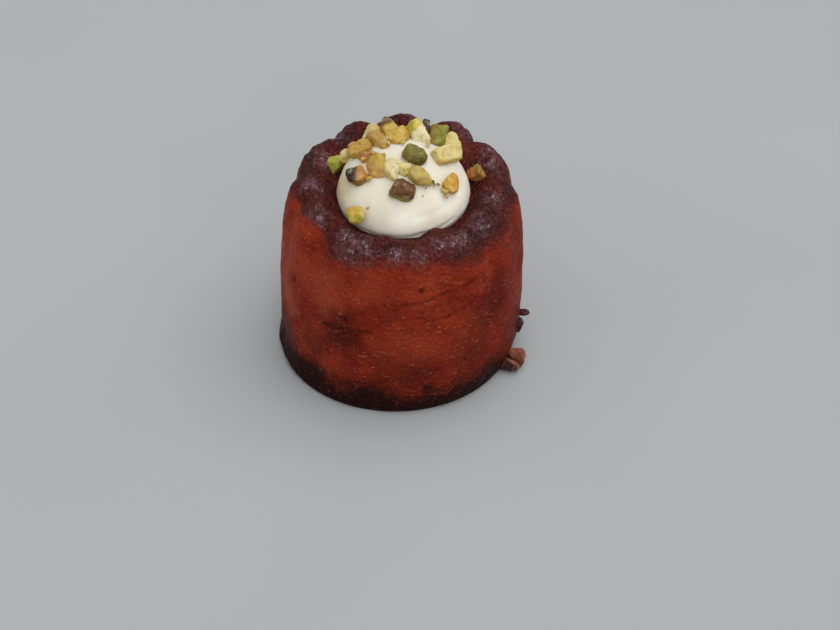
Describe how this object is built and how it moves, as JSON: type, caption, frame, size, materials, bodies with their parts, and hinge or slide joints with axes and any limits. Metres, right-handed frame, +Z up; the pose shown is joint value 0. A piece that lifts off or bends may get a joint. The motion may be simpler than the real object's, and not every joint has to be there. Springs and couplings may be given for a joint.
{
  "type": "canele",
  "caption": "Small fluted cake with a dark caramelised crust, topped with a mound of piped cream and chopped pistachios, resting on its flat base.",
  "frame": {"origin": "middle of the flat base, on the surface the cake rests on", "axes": "+Z up through the cake, -Y towards the front that the cream leans to, +X to the right"},
  "size_m": [0.0577, 0.0541, 0.0555],
  "materials": {
    "crust": "dark red-brown caramelised crust with a satin shine, nearly black on the top edge and the foot",
    "cream": "smooth ivory whipped cream with a soft sheen"
  },
  "bodies": {
    "root": {"cake": "crust", "cream": "cream"}
  },
  "joints": []
}
